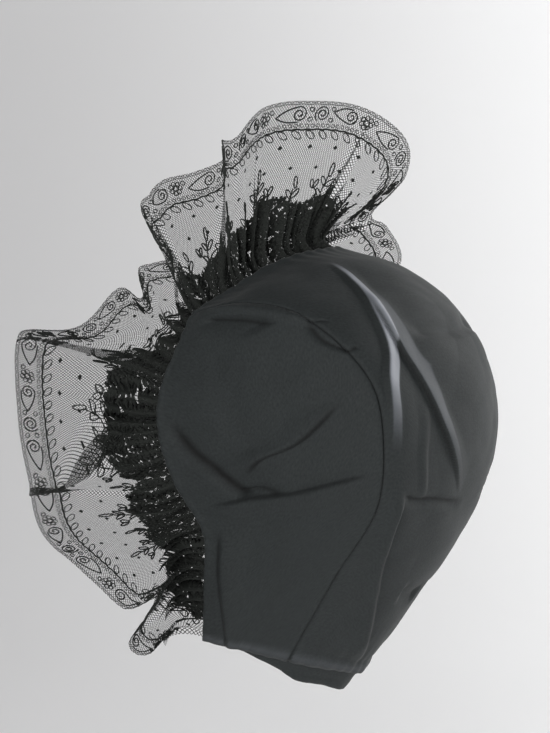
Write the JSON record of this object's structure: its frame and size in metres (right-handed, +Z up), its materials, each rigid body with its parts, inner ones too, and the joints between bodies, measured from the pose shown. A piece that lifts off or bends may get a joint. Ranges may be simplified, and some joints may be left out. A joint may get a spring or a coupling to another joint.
{
  "type": "lace-trimmed cap",
  "caption": "Woman's black silk cap with round side panels, a pleated crown strip, a nape band and a wide gathered net-lace ruffle round the face.",
  "frame": {"origin": "inside of the crown on the centre line, where the top of the wearer's head rests", "axes": "+Z up, the wearer faces -Y, the wearer's left is +X"},
  "size_m": [0.2999, 0.2614, 0.3572],
  "materials": {
    "black_silk": "plain weave with a soft sheen",
    "black_lace": "matt, open net with corded pattern"
  },
  "bodies": {
    "root": {"crown": "black_silk", "side_panel_left": "black_silk", "side_panel_right": "black_silk", "nape_band": "black_silk", "lace_ruffle": "black_lace"}
  },
  "joints": []
}
